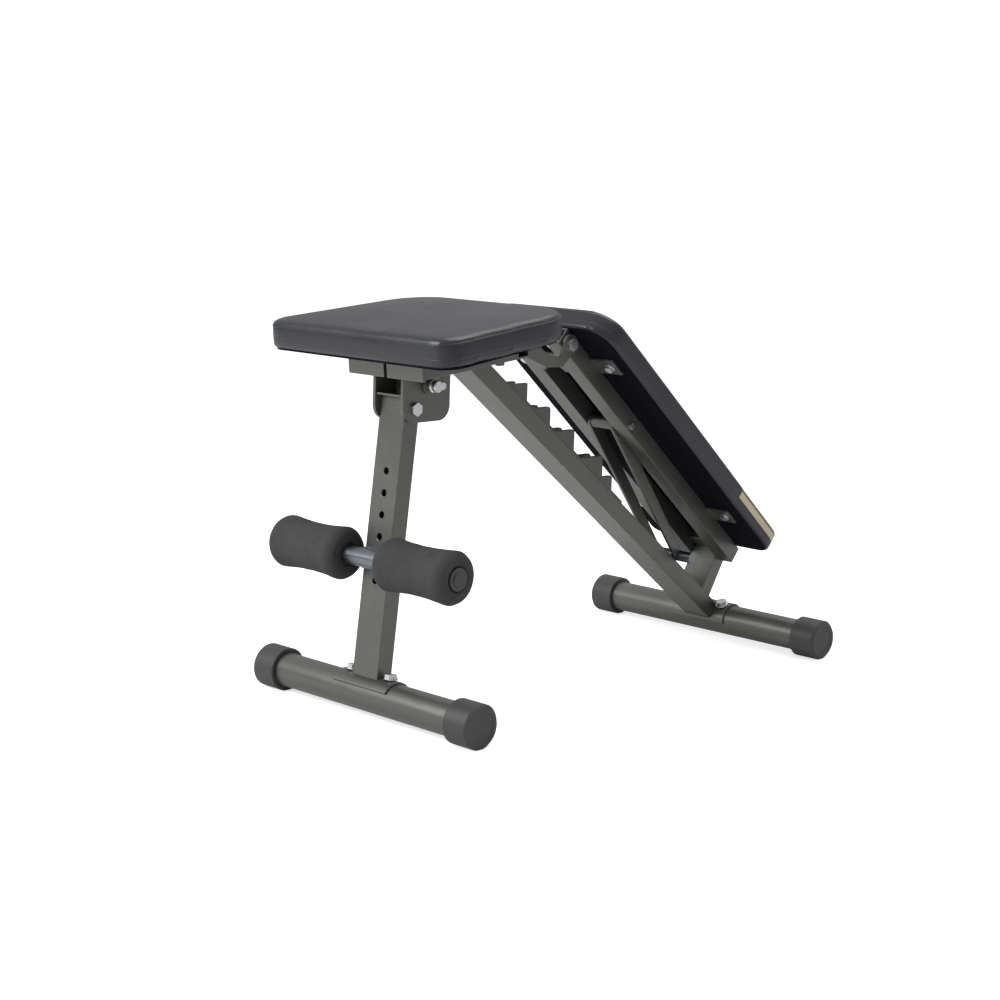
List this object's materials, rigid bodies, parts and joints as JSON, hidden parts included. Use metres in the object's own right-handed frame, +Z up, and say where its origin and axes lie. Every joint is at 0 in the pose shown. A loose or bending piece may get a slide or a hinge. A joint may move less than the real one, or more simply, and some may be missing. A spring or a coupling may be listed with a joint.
{
  "type": "decline sit up bench",
  "caption": "Folding decline sit-up bench with flat seat, hinged backrest on a toothed beam and foam ankle rollers on a folding front leg.",
  "frame": {"origin": "centre of the footprint box, on the floor", "axes": "+X across the bench towards its right side, +Y from the ankle rollers to the head end, +Z up"},
  "size_m": [0.378, 0.686, 0.465],
  "materials": {
    "frame_paint": "satin gunmetal powder coat",
    "black_vinyl": "grained black vinyl with a soft sheen",
    "board_backing": "black backing cloth stapled over plywood",
    "black_plastic": "moulded matte",
    "roller_foam": "closed-cell foam, matte",
    "zinc_steel": "zinc plated",
    "bar_steel": "satin grey steel"
  },
  "bodies": {
    "seat_and_beam": {"seat_rail_left": "frame_paint", "seat_rail_right": "frame_paint", "seat_front_plate": "frame_paint", "seat_spine": "frame_paint", "seat_rear_cross": "frame_paint", "fold_plate_left": "frame_paint", "fold_plate_right": "frame_paint", "backrest_ear_left": "frame_paint", "backrest_ear_right": "frame_paint", "main_beam": "frame_paint", "ladder_plates": "frame_paint", "rear_upright": "frame_paint", "rear_saddle": "frame_paint", "rear_foot_tube": "frame_paint", "rear_cap_left": "black_plastic", "rear_cap_right": "black_plastic", "rear_foot_bolts": "zinc_steel", "seat_board": "board_backing", "seat_cushion": "black_vinyl", "seat_bolts": "frame_paint", "fold_plate_bolt": "zinc_steel", "leg_pivot_bolt": "zinc_steel", "backrest_pivot_bolts": "zinc_steel", "lock_barrel": "frame_paint"},
    "lock_pin": {"lock_pin": "zinc_steel", "lock_knob": "zinc_steel"},
    "front_leg": {"front_post": "frame_paint", "post_top_plate": "frame_paint", "front_saddle": "frame_paint", "front_foot_tube": "frame_paint", "front_cap_left": "black_plastic", "front_cap_right": "black_plastic", "front_foot_bolts": "zinc_steel", "roller_bar": "bar_steel", "roller_bar_block": "frame_paint", "roller_plug_left": "black_plastic", "roller_plug_right": "black_plastic"},
    "roller_pin": {"roller_pin": "zinc_steel", "roller_knob": "black_plastic"},
    "roller_left": {"roller_sleeve_left": "black_plastic", "roller_foam_left": "roller_foam"},
    "roller_right": {"roller_sleeve_right": "black_plastic", "roller_foam_right": "roller_foam"},
    "backrest": {"backrest_rail_left": "frame_paint", "backrest_rail_right": "frame_paint", "backrest_upper_cross": "frame_paint", "backrest_lower_cross": "frame_paint", "backrest_tabs": "frame_paint", "backrest_board": "board_backing", "backrest_cushion": "black_vinyl", "backrest_bolts": "zinc_steel", "strut_pivot_bolt": "zinc_steel", "strut_spacer": "frame_paint"},
    "strut": {"strut_arm_left": "frame_paint", "strut_arm_right": "frame_paint", "strut_rod": "bar_steel"}
  },
  "joints": [
    {"name": "backrest_tilt", "type": "hinge", "parent": "seat_and_beam", "child": "backrest", "pos_m": [0, -0.035, 0.413], "axis": [1, 0, 0], "range_deg": [0, 104]},
    {"name": "strut_swing", "type": "hinge", "parent": "backrest", "child": "strut", "pos_m": [0, 0.08684, 0.30622], "axis": [1, 0, 0], "range_deg": [-155, 0]},
    {"name": "leg_fold", "type": "hinge", "parent": "seat_and_beam", "child": "front_leg", "pos_m": [0, -0.26488, 0.34947], "axis": [1, 0, 0], "range_deg": [0, 65]},
    {"name": "lock_pin_pull", "type": "slide", "parent": "seat_and_beam", "child": "lock_pin", "axis": [1, 0, 0], "range_m": [0, 0.012], "stiffness_N_per_m": 400, "springref_m": -0.01},
    {"name": "roller_pin_pull", "type": "slide", "parent": "front_leg", "child": "roller_pin", "axis": [0, 0.9932, -0.1167], "range_m": [0, 0.034]},
    {"name": "roller_left_spin", "type": "hinge", "parent": "front_leg", "child": "roller_left", "pos_m": [0, -0.30923, 0.182], "axis": [1, 0, 0], "continuous": true},
    {"name": "roller_right_spin", "type": "hinge", "parent": "front_leg", "child": "roller_right", "pos_m": [0, -0.30923, 0.182], "axis": [1, 0, 0], "continuous": true}
  ],
  "couplings": [
    {"joint": "strut_swing", "follows": "backrest_tilt", "ratio": -1.48}
  ]
}
